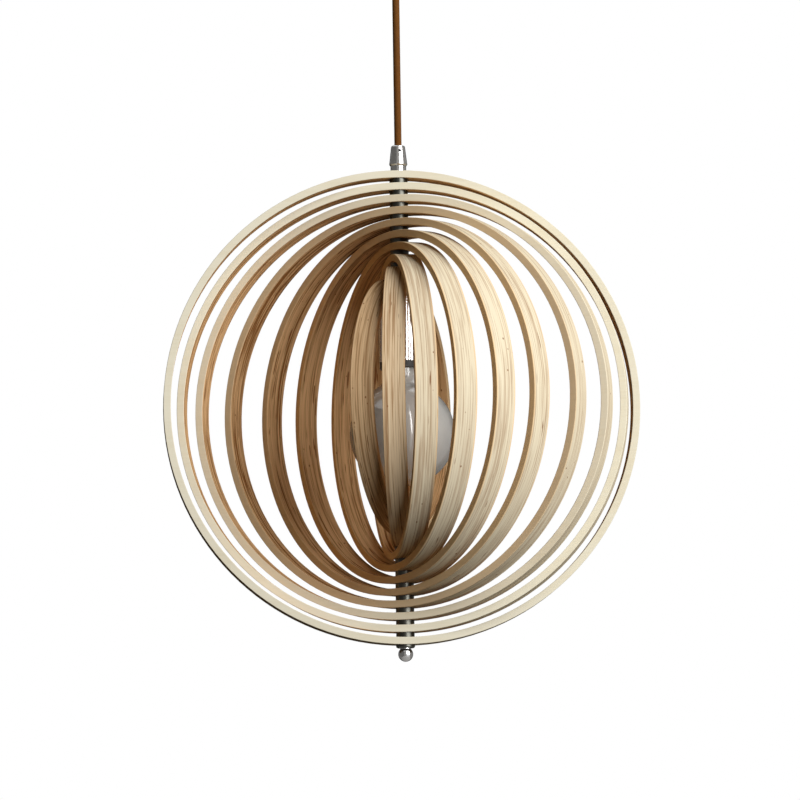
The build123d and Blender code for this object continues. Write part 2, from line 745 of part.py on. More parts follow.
cap_high_z = holder_mouth_z + cap_high
with BuildPart() as bulb_cap_insulator:
    with BuildSketch(Plane.XZ):
        with BuildLine():
            Polyline(
                (0, cap_high_z),
                (cap_root_radius, cap_high_z),
                (tip_diameter / 2, cap_high_z + insulator_height),
                (0, cap_high_z + insulator_height),
                close=True,
            )
        make_face()
    revolve(axis=Axis.Z)
keep(bulb_cap_insulator, "bulb_cap_insulator")

with BuildPart() as bulb_tip_contact:
    with BuildSketch(Plane.XY.offset(holder_mouth_z + tip_low)):
        Circle(tip_diameter / 2)
    extrude(amount=tip_height)
    fillet(bulb_tip_contact.edges().group_by(Axis.Z)[-1], tip_height / 2)
keep(bulb_tip_contact, "bulb_tip_contact")

# Inside the bulb: a light board across the neck, its heat sink in the tail and the driver above it
board_radius = neck_radius - bulb_wall - board_clearance
sink_low_z = holder_mouth_z
sink_high_z = outside["tail_top"][1]
sink_radius = tail_radius - bulb_wall - board_clearance
with BuildPart() as bulb_heat_sink:
    with BuildSketch(Plane.XY.offset(sink_low_z)):
        Circle(sink_radius)
    extrude(amount=sink_high_z - sink_low_z)
    with BuildSketch(Plane.XY.offset(sink_high_z)):
        Circle(cap_root_radius - cap_wall - board_clearance)
    extrude(amount=board_thickness)
keep(bulb_heat_sink, "bulb_heat_sink")

with BuildPart() as bulb_led_board:
    with BuildSketch(Plane.XY.offset(sink_low_z)):
        Circle(board_radius)
    extrude(amount=-board_thickness)
keep(bulb_led_board, "bulb_led_board")

with BuildPart() as bulb_leds:
    with BuildSketch(Plane.XY.offset(sink_low_z - board_thickness)):
        with PolarLocations(board_radius - led_side, led_count):
            Rectangle(led_side, led_side)
    extrude(amount=-led_height)
keep(bulb_leds, "bulb_leds")

driver_low_z = sink_high_z + board_thickness
with BuildPart() as bulb_driver:
    with BuildSketch(Plane.XY.offset(driver_low_z)):
        Rectangle(driver_width, driver_thickness)
    extrude(amount=cap_high_z - driver_headroom - driver_low_z)
keep(bulb_driver, "bulb_driver")

# Hoops, outermost first
for number, (radius, turn) in enumerate(zip(hoop_radii, hoop_turns), start=1):
    keep(hoop(radius, turn), f"hoop_{number:02d}")

# Bottom pivot: stud, spacers, washers, nut and ball finial
stud_low_z = finial_washer_z - finial_thread_depth + finial_thread_gap
with BuildPart() as bottom_stud:
    with BuildSketch(Plane.XY.offset(stud_low_z)):
        Circle(stud_radius)
    extrude(amount=stud_top_z - stud_low_z)
keep(bottom_stud, "bottom_stud")
keep(spacers(-1, stud_hole_radius), "bottom_spacers")
keep(ring_piece(inner_washer_z, inner_washer_height, spacer_radius, stud_hole_radius), "inner_washer")
keep(hex_nut(stud_nut_z, stud_nut_height, stud_nut_across_flats, stud_hole_radius), "stud_nut")

with BuildPart() as finial_washer:
    with BuildSketch(Plane.XY.offset(finial_washer_z)):
        Circle(finial_washer_diameter / 2)
    extrude(amount=finial_washer_height)
    chamfer(finial_washer.edges().filter_by(GeomType.CIRCLE).sort_by(Axis.Z)[0], finial_washer_chamfer)
    with BuildSketch(Plane.XY.offset(finial_washer_z)):
        Circle(stud_hole_radius)
    extrude(amount=finial_washer_height, mode=Mode.SUBTRACT)
keep(finial_washer, "finial_washer")

with BuildPart() as ball_finial:
    with Locations((0, 0, ball_z)):
        Sphere(ball_radius)
    with BuildSketch(Plane.XY.offset(finial_washer_z)):
        Circle(finial_neck_diameter / 2)
    extrude(amount=ball_z - finial_washer_z)
    with BuildSketch(Plane.XY.offset(finial_washer_z)):
        Circle(ball_radius)
    extrude(amount=ball_radius, mode=Mode.SUBTRACT)
    with BuildSketch(Plane.XY.offset(finial_washer_z)):
        Circle(stud_hole_radius)
    extrude(amount=-finial_thread_depth, mode=Mode.SUBTRACT)
keep(ball_finial, "ball_finial")

print(f"outer hoop {2 * outer_radius:.1f} across, globe centre at {globe_z:.2f}, bulb at {bulb_z:.2f}")
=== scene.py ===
"""Globe pendant light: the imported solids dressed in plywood, chrome, opal glass and woven braid."""

import math

import bmesh
import bpy
from bpy.props import FloatProperty, FloatVectorProperty, IntProperty, PointerProperty
from mathutils import Matrix, Vector


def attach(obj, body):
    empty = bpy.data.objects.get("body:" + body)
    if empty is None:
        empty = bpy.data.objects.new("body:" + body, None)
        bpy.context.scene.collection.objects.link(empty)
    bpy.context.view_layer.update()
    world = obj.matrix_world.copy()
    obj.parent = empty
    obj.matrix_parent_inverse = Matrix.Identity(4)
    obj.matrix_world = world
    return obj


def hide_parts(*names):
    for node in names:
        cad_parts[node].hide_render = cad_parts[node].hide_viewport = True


bl_info = {
    "name": "Globe Pendant Light",
    "version": (1, 0, 0),
    "blender": (4, 5, 0),
    "location": "View3D > Sidebar > Lamp",
    "description": "Dresses a pendant lamp of turning plywood hoops",
    "category": "Object",
}

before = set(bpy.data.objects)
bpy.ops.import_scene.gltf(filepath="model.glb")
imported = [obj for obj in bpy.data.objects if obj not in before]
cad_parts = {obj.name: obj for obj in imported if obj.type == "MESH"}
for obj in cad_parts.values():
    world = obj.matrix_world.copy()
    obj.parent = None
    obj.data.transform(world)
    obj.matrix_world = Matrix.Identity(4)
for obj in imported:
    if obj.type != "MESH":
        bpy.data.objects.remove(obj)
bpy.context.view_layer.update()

# Places in metres, from the ceiling down
CANOPY_MOUTH = -0.0542
LAMP_MOUTH = -0.2196
GLOBE = Vector((0, 0, -0.495))

# Clockwise turn of each hoop from +X, seen from above, in degrees
HOOP_TURNS = (-4, 6.2, 15.7, 29.4, 43.9, 55.2, 67.5, 80.8, 93.2, 108)
HOOP_MIDDLE = 0.24385  # radius of the outer hoop, halfway through its wall
HOOP_PITCH = 0.0127
HOOP_DEPTH = 0.023
HOOP_ROUND = 0.0006
# For each hoop: how far its faces and its outer edge are browned as painted shade, from 0 to 1, most on the
# inner hoops that stand in shadow
PAINTED_SHADE_FACES = (0, 0, 0.17, 0.75, 0.95, 1, 1, 1, 1, 1)
PAINTED_SHADE_OUTSIDE = (0, 0, 0, 0, 0, 0, 0, 0.05, 0.42, 0.8)
# For each hoop: how pale the veneer of its faces is, against the common colour, raised as painted light on
# hoops whose faces the lamps light less
PAINTED_LIGHT_FACES = (1, 1.14, 1.1, 1, 1.08, 1.1, 1.12, 1, 1, 1)
# For each hoop: the strength of the brown streaks on its outer and inner edges: grain, made stronger on the
# inner edges and on the outer edges of hoops 9 and 10 as painted shade
OUTER_STRIPES = (0.3, 0.3, 0.25, 0.35, 0.45, 0.4, 0.3, 0.4, 0.66, 0.6)
INNER_STRIPES = (0.8, 0.8, 0.8, 1.55, 1.0, 0.66, 0.68, 0.8, 0.8, 0.8)

CHROME_NODES = (
    "canopy_shell", "canopy_side_screws", "canopy_collar", "canopy_cord_grip", "cord_grip", "grip_collar",
    "holder_cover", "ball_finial",
)
# The spacers are dark turned steel; the chrome finial washer is given the same dark tint as painted shade
# and painted dark reflection
TURNED_AND_SHADED_NODES = ("top_spacers", "bottom_spacers", "finial_washer")
ZINC_NODES = (
    "ceiling_strap", "canopy_nipple", "canopy_nipple_nut", "terminal_screws", "block_screw", "stem_tube",
    "stem_washer", "stem_lock_nut", "holder_nut", "holder_terminal_screws", "bottom_stud", "inner_washer",
    "stud_nut",
)
GRUB_NODES = ("canopy_grip_screw", "cord_grip_screw")
BRASS_NODES = ("terminal_sleeves", "holder_screw_shell", "holder_centre_contact", "holder_terminals")

CORD_RINGS = 520  # rings of points along the cord
LACQUER_WEIGHT = 0.26
LACQUER_ROUGHNESS = 0.5

# The picture's middle lies this far left of the globe's centre and above it, in metres
AIM_LEFT = 0.00193
AIM_UP = 0.00725
# Lamps: degrees right of the camera's side, degrees up and metres from the globe, then width and height
KEY_PLACE = (41, 19, 9.0)
KEY_SIZE = (7.4, 8.4)
KEY_TINT = (1.0, 0.985, 0.96)
BACK_PLACE = (165, -5, 3.0)
BACK_SIZE = (1.4, 1.4)
BACK_TINT = (1.0, 0.98, 0.95)
AMBIENT_TINT = (1.0, 0.70, 0.40, 1)
# Grey cards that only polished pieces show, darker on the left: degrees right, width and grey
CARDS = (
    ("left_card", -74, 6.0, 0.16),
    ("left_back_card", -155, 2.1, 0.03),
    ("front_card", -1.5, 1.6, 0.36),
    ("right_card", 98, 2.7, 0.30),
    ("right_back_card", 156, 2.1, 0.12),
)
CARD_HEIGHT = 4.6
CARD_DISTANCE = 2.2
FLOOR_SIZE = (5, 5)


def colour(name, description, default):
    """A colour that the user can change."""
    return FloatVectorProperty(
        name=name, description=description, subtype="COLOR", size=4, min=0, max=1, default=(*default, 1)
    )


def between(a, b, share):
    """A colour that far from one colour to another."""
    return [p + (q - p) * share for p, q in zip(a, b)]


class HoopLook(bpy.types.PropertyGroup):
    """Plywood of the hoops."""

    plies: IntProperty(name="Plies", description="Veneers in the sheet", default=9, min=3, max=21)
    veneer: colour("Veneer", "Pale wood of the flat faces", (0.80, 0.76, 0.62))
    # Shaded veneer: the browner face colour laid on the inner hoops as painted shade
    shaded_veneer: colour("Warm veneer", "Wood of the inner hoops' flat faces", (0.82, 0.585, 0.33))
    veneer_streak: colour("Veneer streak", "Grain lines of the flat faces", (0.75, 0.69, 0.53))
    outer_ply: colour("Outer ply", "Long grain on the outer edges", (0.83, 0.745, 0.56))
    # Inner ply: long grain, browned as painted shade on the inner edges
    inner_ply_and_shade: colour("Inner ply", "Long grain on the inner edges", (0.85, 0.55, 0.285))
    brown_ply: colour("Brown ply", "End grain and streaks on the edges", (0.31, 0.145, 0.05))
    glue: colour("Glue line", "Lines between the plies", (0.30, 0.15, 0.06))
    fleck: colour("Fleck", "Small gaps and knots in the plies", (0.22, 0.08, 0.022))


class MetalLook(bpy.types.PropertyGroup):
    """Metals of the fittings."""

    chrome: colour("Chrome", "Polished plating", (0.78, 0.78, 0.79))
    turned: colour("Turned steel", "Spacers and bottom washer", (0.09, 0.09, 0.08))
    zinc: colour("Zinc", "Nuts, washers, tubes and strap", (0.60, 0.60, 0.58))
    brass: colour("Brass", "Contacts and terminals", (0.72, 0.52, 0.24))
    aluminium: colour("Aluminium", "Cap and heat sink of the bulb", (0.72, 0.72, 0.72))
    blackened: colour("Blackened steel", "Grub screws of the grips", (0.02, 0.02, 0.02))


class CordLook(bpy.types.PropertyGroup):
    """Braided cord."""

    diameter: FloatProperty(name="Diameter", description="Over the braid", default=0.0076, unit="LENGTH")
    carriers: IntProperty(name="Carriers", description="Yarns that run each way round", default=12, min=4)
    lay: FloatProperty(name="Lay", description="Length of one turn of a yarn", default=0.026, unit="LENGTH")
    relief: FloatProperty(name="Relief", description="Depth between yarns", default=0.00022, unit="LENGTH")
    yarn: colour("Yarn", "Crown of a yarn", (0.165, 0.062, 0.011))
    shade: colour("Shade", "Depth between yarns", (0.045, 0.016, 0.004))


class BulbLook(bpy.types.PropertyGroup):
    """Opal bulb."""

    glass: colour("Opal glass", "Outside of the globe", (0.77, 0.80, 0.79))
    cloud: colour("Opal cloud", "Slightly denser opal", (0.71, 0.74, 0.74))


class StageLook(bpy.types.PropertyGroup):
    """Camera, light and floor."""

    distance: FloatProperty(name="Distance", description="Camera to globe", default=4.634, unit="LENGTH")
    rise: FloatProperty(
        name="Rise", description="Camera looks up by", default=math.radians(7.4), subtype="ANGLE"
    )
    roll: FloatProperty(
        name="Roll", description="Lean of the camera", default=math.radians(0.87), subtype="ANGLE"
    )
    lens: FloatProperty(
        name="Lens", description="Focal length in millimetres", default=200.8, unit="CAMERA"
    )
    key_power: FloatProperty(name="Key", description="Power of the large lamp", default=1215, unit="POWER")
    back_power: FloatProperty(name="Back", description="Power of the lamp behind", default=18, unit="POWER")
    ambient: FloatProperty(name="Ambient", description="Light from all round", default=0.03, min=0)
    floor_height: FloatProperty(
        name="Floor", description="Height of the floor", default=-2.4, unit="LENGTH"
    )
    floor: colour("Floor colour", "Pale floor", (0.72, 0.72, 0.71))


class LampLook(bpy.types.PropertyGroup):
    """All settings of the lamp."""

    hoops: PointerProperty(type=HoopLook, name="Hoops", description="Plywood of the hoops")
    metal: PointerProperty(type=MetalLook, name="Metal", description="Metals of the fittings")
    cord: PointerProperty(type=CordLook, name="Cord", description="Braided cord")
    bulb: PointerProperty(type=BulbLook, name="Bulb", description="Opal bulb")
    stage: PointerProperty(type=StageLook, name="Stage", description="Camera, light and floor")


class Graph:
    """Adds nodes to one tree and links them."""

    def __init__(self, tree):
        self.tree = tree

    def node(self, kind, **settings):
        made = self.tree.nodes.new(kind)
        for name, value in settings.items():
            setattr(made, name, value)
        return made

    def feed(self, socket, value):
        if isinstance(value, bpy.types.NodeSocket):
            self.tree.links.new(value, socket)
        else:
            socket.default_value = value

    def math(self, operation, *values):
        made = self.node("ShaderNodeMath", operation=operation)
        for socket, value in zip(made.inputs, values):
            self.feed(socket, value)
        return made.outputs[0]

    def step(self, value, low, high):
        """Rises smoothly from 0 at low to 1 at high."""
        made = self.node("ShaderNodeMapRange", interpolation_type="SMOOTHSTEP")
        self.feed(made.inputs["Value"], value)
        made.inputs["From Min"].default_value = low
        made.inputs["From Max"].default_value = high
        return made.outputs["Result"]

    def span(self, value, low, high):
        """Turns 0 to 1 into low to high."""
        made = self.node("ShaderNodeMapRange")
        self.feed(made.inputs["Value"], value)
        made.inputs["To Min"].default_value = low
        made.inputs["To Max"].default_value = high
        return made.outputs["Result"]

    def mix(self, factor, a, b):
        made = self.node("ShaderNodeMix", data_type="RGBA")
        for socket, value in ((made.inputs[0], factor), (made.inputs[6], a), (made.inputs[7], b)):
            self.feed(socket, value)
        return made.outputs[2]

    def split(self, vector):
        made = self.node("ShaderNodeSeparateXYZ")
        self.feed(made.inputs[0], vector)
        return made.outputs

    def place(self, vector, location=(0, 0, 0), rotation=(0, 0, 0), scale=(1, 1, 1)):
        made = self.node("ShaderNodeMapping")
        self.feed(made.inputs["Vector"], vector)
        made.inputs["Location"].default_value = location
        made.inputs["Rotation"].default_value = rotation
        made.inputs["Scale"].default_value = scale
        return made.outputs[0]

    def noise(self, vector, seed=0.0, scale=1.0, detail=2.0, roughness=0.5):
        made = self.node("ShaderNodeTexNoise", noise_dimensions="4D")
        self.feed(made.inputs["Vector"], vector)
        self.feed(made.inputs["W"], seed)
        made.inputs["Scale"].default_value = scale
        made.inputs["Detail"].default_value = detail
        made.inputs["Roughness"].default_value = roughness
        return made.outputs["Fac"]

    def object_place(self):
        return self.node("ShaderNodeTexCoord").outputs["Object"]

    def group(self, tree, **values):
        made = self.node("ShaderNodeGroup", node_tree=tree)
        for name, value in values.items():
            self.feed(made.inputs[name.replace("_", " ")], value)
        return made.outputs

    def bump(self, height, distance, strength=1.0):
        made = self.node("ShaderNodeBump")
        self.feed(made.inputs["Height"], height)
        made.inputs["Distance"].default_value = distance
        made.inputs["Strength"].default_value = strength
        return made.outputs["Normal"]


def shader_group(name, inputs, outputs):
    """An empty node group with named sockets, and the graph and inputs to fill it with."""
    kinds = {"vector": "NodeSocketVector", "value": "NodeSocketFloat", "colour": "NodeSocketColor"}
    tree = bpy.data.node_groups.new(name, "ShaderNodeTree")
    for label, kind in inputs:
        tree.interface.new_socket(label, in_out="INPUT", socket_type=kinds[kind])
    for label, kind in outputs:
        tree.interface.new_socket(label, in_out="OUTPUT", socket_type=kinds[kind])
    graph = Graph(tree)
    return graph, graph.node("NodeGroupInput").outputs, graph.node("NodeGroupOutput").inputs


def material(name):
    """A new material with its graph and its shader's sockets."""
    made = bpy.data.materials.new(name)
    made.use_nodes = True
    return made, Graph(made.node_tree), made.node_tree.nodes["Principled BSDF"].inputs


def dress(nodes, finish):
    """Gives CAD nodes a material."""
    for name in nodes:
        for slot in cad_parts[name].material_slots:
            slot.material = finish


def plywood_group(plies):
    """Layered sheet: u along the hoop's plane, d through the sheet, z up, all from the hoop's centre."""
    graph, given, out = shader_group(
        "plywood_sheet",
        [("Vector", "vector"), ("Seed", "value"), ("Middle", "value"), ("Warmth", "value"),
         ("Outer stripes", "value"), ("Inner stripes", "value"), ("Veneer", "colour"), ("Streak", "colour"),
         ("Outer", "colour"), ("Inner", "colour"), ("Brown", "colour"), ("Glue", "colour"),
         ("Fleck", "colour")],
        [("Color", "colour"), ("Roughness", "value"), ("Lacquer", "value"), ("Height", "value")],
    )
    at, seed = given["Vector"], given["Seed"]
    u, d, z = graph.split(at)
    # Plies: which one a point is in, and where in it
    wander = graph.span(graph.noise(graph.place(at, scale=(7, 0, 7)), seed), -0.22, 0.22)
    through = graph.math("MULTIPLY_ADD", d, plies / HOOP_DEPTH, wander)
    through = graph.math("ADD", through, plies / 2)
    ply = graph.math("FLOOR", through)
    within = graph.math("FRACT", through)
    odd = graph.math("FLOORED_MODULO", ply, 2.0)
    tone_node = graph.node("ShaderNodeTexWhiteNoise", noise_dimensions="1D")
    graph.feed(tone_node.inputs["W"], graph.math("MULTIPLY_ADD", seed, 17.3, ply))
    tone = tone_node.outputs["Value"]
    # End grain shows where a ply's grain meets the edge head on, so it changes round the hoop
    squares = graph.math("ADD", graph.math("MULTIPLY", u, u), graph.math("MULTIPLY", z, z))
    upright = graph.math("DIVIDE", graph.math("MULTIPLY", z, z), squares)
    sideways = graph.math("SUBTRACT", 1.0, upright)
    head_on = graph.math("ADD", graph.math("MULTIPLY", odd, sideways),
                         graph.math("MULTIPLY", graph.math("SUBTRACT", 1.0, odd), upright))
    streak = graph.noise(graph.place(at, scale=(10, 430, 10)), seed, detail=3, roughness=0.62)
    lines = graph.step(streak, 0.47, 0.61)
    brown = graph.math("MULTIPLY_ADD", lines, 1.0, -0.12)
    brown = graph.math("MULTIPLY_ADD", tone, 0.26, brown)
    brown = graph.math("MULTIPLY_ADD", head_on, 0.16, brown)
    # The inner edges are browner and more streaked, as painted shade where they face away from the light
    inner = graph.math("LESS_THAN", graph.math("SQRT", squares), given["Middle"])
    extra = graph.math("SUBTRACT", given["Inner stripes"], given["Outer stripes"])
    brown = graph.math("MULTIPLY", brown, graph.math("MULTIPLY_ADD", inner, extra, given["Outer stripes"]))
    brown = graph.math("MAXIMUM", graph.math("MINIMUM", brown, 1.0), 0.0)
    # Painted shade: the inner edges, and the outer edges of the shaded hoops, take the browner inner colour
    painted_shade = graph.math("MAXIMUM", inner, given["Warmth"])
    edge = graph.mix(brown, graph.mix(painted_shade, given["Outer"], given["Inner"]), given["Brown"])
    # Glue lines between the plies, broken here and there
    near = graph.math("MINIMUM", within, graph.math("SUBTRACT", 1.0, within))
    line = graph.math("SUBTRACT", 1.0, graph.step(near, 0.02, 0.12))
    broken = graph.step(graph.noise(graph.place(at, scale=(22, 300, 22)), seed, detail=1), 0.36, 0.62)
    line = graph.math("MULTIPLY", line, broken)
    edge = graph.mix(graph.math("MULTIPLY", line, 0.7), edge, given["Glue"])
    # Gaps in the inner plies: long dark flecks, more of them where painted shade lies, and a few round pin
    # knots
    gap = graph.noise(graph.place(at, scale=(30, 480, 30)), seed, detail=1)
    gap = graph.step(graph.math("MULTIPLY_ADD", painted_shade, 0.09, gap), 0.73, 0.77)
    knot_node = graph.node("ShaderNodeTexVoronoi", voronoi_dimensions="4D")
    graph.feed(knot_node.inputs["Vector"], graph.place(at, scale=(90, 130, 90)))
    graph.feed(knot_node.inputs["W"], seed)
    knot_node.inputs["Scale"].default_value = 1.0
    knot = graph.math("SUBTRACT", 1.0, graph.step(knot_node.outputs["Distance"], 0.07, 0.15))
    dark = graph.math("MAXIMUM", gap, knot)
    edge = graph.mix(graph.math("MULTIPLY", dark, 0.85), edge, given["Fleck"])
    # The face veneers end in a pale line along each corner, faded where painted shade browns the edge
    depth = graph.math("ABSOLUTE", d)
    rim = graph.step(depth, HOOP_DEPTH / 2 - 0.0017, HOOP_DEPTH / 2 - 0.0012)
    rim = graph.math("MULTIPLY", rim, graph.span(painted_shade, 0.7, 0.2))
    edge = graph.mix(rim, edge, given["Veneer"])
    # Face veneer: faint level grain with broad figure
    fine = graph.noise(graph.place(at, scale=(9, 0, 380)), seed, detail=4, roughness=0.6)
    broad = graph.noise(graph.place(at, scale=(14, 0, 40)), seed, detail=2)
    figure = graph.math("MULTIPLY", graph.math("ADD", fine, broad), 0.5)
    face = graph.mix(graph.step(figure, 0.38, 0.74), given["Veneer"], given["Streak"])
    on_face = graph.step(depth, HOOP_DEPTH / 2 - HOOP_ROUND, HOOP_DEPTH / 2 - HOOP_ROUND / 3)
    graph.feed(out["Color"], graph.mix(on_face, edge, face))
    graph.feed(out["Roughness"], graph.span(streak, 0.40, 0.66))
    graph.feed(out["Lacquer"], on_face)
    groove = graph.math("MAXIMUM", dark, graph.math("MULTIPLY", line, 0.5))
    relief = graph.math("SUBTRACT", graph.math("MULTIPLY", streak, 0.35), groove)
    face_relief = graph.math("MULTIPLY", fine, 0.3)
    keep_edge = graph.math("MULTIPLY", graph.math("SUBTRACT", 1.0, on_face), relief)
    graph.feed(out["Height"], graph.math("MULTIPLY_ADD", on_face, face_relief, keep_edge))
    return graph.tree


def marks_group():
    """Handling marks: smudges and hairlines on metal and plastic."""
    graph, given, out = shader_group(
        "handling_marks",
        [("Vector", "vector"), ("Low", "value"), ("High", "value"), ("Size", "value")],
        [("Roughness", "value"), ("Height", "value"), ("Mask", "value")],
    )
    scaled = graph.node("ShaderNodeVectorMath", operation="SCALE")
    graph.feed(scaled.inputs["Vector"], given["Vector"])
    graph.feed(scaled.inputs["Scale"], given["Size"])
    smudge = graph.noise(scaled.outputs[0], 1.7, detail=4, roughness=0.6)
    hair = graph.noise(graph.place(scaled.outputs[0], scale=(3, 3, 60)), 4.1, detail=3, roughness=0.7)
    mask = graph.step(smudge, 0.34, 0.70)
    reach = graph.math("SUBTRACT", given["High"], given["Low"])
    graph.feed(out["Roughness"], graph.math("MULTIPLY_ADD", mask, reach, given["Low"]))
    graph.feed(out["Height"], hair)
    graph.feed(out["Mask"], mask)
    return graph.tree


def braid_group(look):
    """Two sets of yarns that cross round an upright cord."""
    graph, given, out = shader_group(
        "crossed_yarns",
        [("Vector", "vector")],
        [("Crown", "value"), ("Yarn", "value"), ("Height", "value")],
    )
    x, y, z = graph.split(given["Vector"])
    turn = graph.math("MULTIPLY", graph.math("ARCTAN2", y, x), look.carriers / (2 * math.pi))
    climb = graph.math("MULTIPLY", z, look.carriers / look.lay)
    crowns = []
    counts = []
    for sign in (1.0, -1.0):
        along = graph.math("MULTIPLY_ADD", climb, sign, turn)
        counts.append(graph.math("FLOOR", along))
        crowns.append(graph.math("SINE", graph.math("MULTIPLY", graph.math("FRACT", along), math.pi)))
    over = graph.math("FLOORED_MODULO", graph.math("ADD", counts[0], counts[1]), 2.0)
    under = graph.math("SUBTRACT", 1.0, over)
    top = graph.math("ADD", graph.math("MULTIPLY", over, crowns[0]),
                     graph.math("MULTIPLY", under, crowns[1]))
    tint_node = graph.node("ShaderNodeTexWhiteNoise", noise_dimensions="1D")
    pick = graph.math("ADD", graph.math("MULTIPLY", over, counts[0]),
                      graph.math("MULTIPLY", under, graph.math("ADD", counts[1], 50.0)))
    graph.feed(tint_node.inputs["W"], pick)
    fibre = graph.noise(graph.place(given["Vector"], scale=(5200, 5200, 1500)), 2.0, detail=2)
    graph.feed(out["Crown"], top)
    graph.feed(out["Yarn"], tint_node.outputs["Value"])
    graph.feed(out["Height"], graph.math("MULTIPLY_ADD", fibre, 0.35, top))
    return graph.tree


def braid_material(look):
    """Woven brown braid."""
    finish, graph, shader = material("brown_braid")
    at = graph.object_place()
    yarns = graph.group(braid_group(look), Vector=at)
    # The grooves between the yarns take the darker Shade colour, painted shade in the creases
    body = graph.mix(graph.step(yarns["Crown"], 0.05, 0.8), look.shade[:], look.yarn[:])
    pale = [min(1, c * 1.5) for c in look.yarn[:3]] + [1]
    graph.feed(shader["Base Color"], graph.mix(graph.math("MULTIPLY", yarns["Yarn"], 0.35), body, pale))
    graph.feed(shader["Roughness"], graph.span(yarns["Yarn"], 0.62, 0.82))
    shader["Sheen Weight"].default_value = 0.08
    shader["Sheen Roughness"].default_value = 0.4
    shader["Specular IOR Level"].default_value = 0.1
    graph.feed(shader["Normal"], graph.bump(yarns["Height"], 0.00015, 0.7))
    return finish


def metal_material(name, tint, low, high, size, marks, finish_lines=0.0, turned=False):
    """A metal with handling marks, and with rolling or lathe lines where it has them."""
    finish, graph, shader = material(name)
    at = graph.object_place()
    marked = graph.group(marks, Vector=at, Low=low, High=high, Size=size)
    darker = [c * 0.82 for c in tint[:3]] + [1]
    graph.feed(shader["Base Color"], graph.mix(marked["Mask"], tint[:], darker))
    shader["Metallic"].default_value = 1.0
    graph.feed(shader["Roughness"], marked["Roughness"])
    if turned:
        lines = graph.noise(graph.place(at, scale=(60, 60, 5200)), 3.3, detail=2)
        graph.feed(shader["Normal"], graph.bump(lines, 0.00006, 0.6))
    elif finish_lines:
        graph.feed(shader["Normal"], graph.bump(marked["Height"], 0.00002, finish_lines))
    return finish


def plastic_material(name, tint, low, high, marks):
    """Moulded plastic with a fine grain."""
    finish, graph, shader = material(name)
    at = graph.object_place()
    marked = graph.group(marks, Vector=at, Low=low, High=high, Size=90.0)
    lighter = [min(1, c * 1.2 + 0.004) for c in tint[:3]] + [1]
    graph.feed(shader["Base Color"], graph.mix(marked["Mask"], tint[:], lighter))
    graph.feed(shader["Roughness"], marked["Roughness"])
    grain = graph.noise(at, 0.5, scale=2600, detail=1)
    graph.feed(shader["Normal"], graph.bump(grain, 0.00003, 0.3))
    return finish


class LAMP_OT_place_camera(bpy.types.Operator):
    """Place the camera in front of the lamp and a little below it"""

    bl_idname = "lamp.place_camera"
    bl_label = "Place Camera"

    def execute(self, context):
        look = context.scene.lamp_look.stage
        right = Vector((1, 0, 0))
        ahead = Vector((0, math.cos(look.rise), math.sin(look.rise)))
        up = right.cross(ahead)
        spot = GLOBE - ahead * look.distance
        # The globe stands slightly right of and below the picture's middle
        aim = GLOBE - right * AIM_LEFT + up * AIM_UP
        ahead = (aim - spot).normalized()
        right = ahead.cross(Vector((0, 0, 1))).normalized()
        up = right.cross(ahead)
        leaning_right = right * math.cos(look.roll) - up * math.sin(look.roll)
        leaning_up = right * math.sin(look.roll) + up * math.cos(look.roll)
        data = bpy.data.cameras.new("camera")
        data.lens = look.lens
        data.sensor_width = 36.0
        camera = bpy.data.objects.new("camera", data)
        turn = Matrix((leaning_right, leaning_up, -ahead)).transposed().to_4x4()
        camera.matrix_world = Matrix.Translation(spot) @ turn
        context.scene.collection.objects.link(camera)
        context.scene.camera = camera
        return {"FINISHED"}


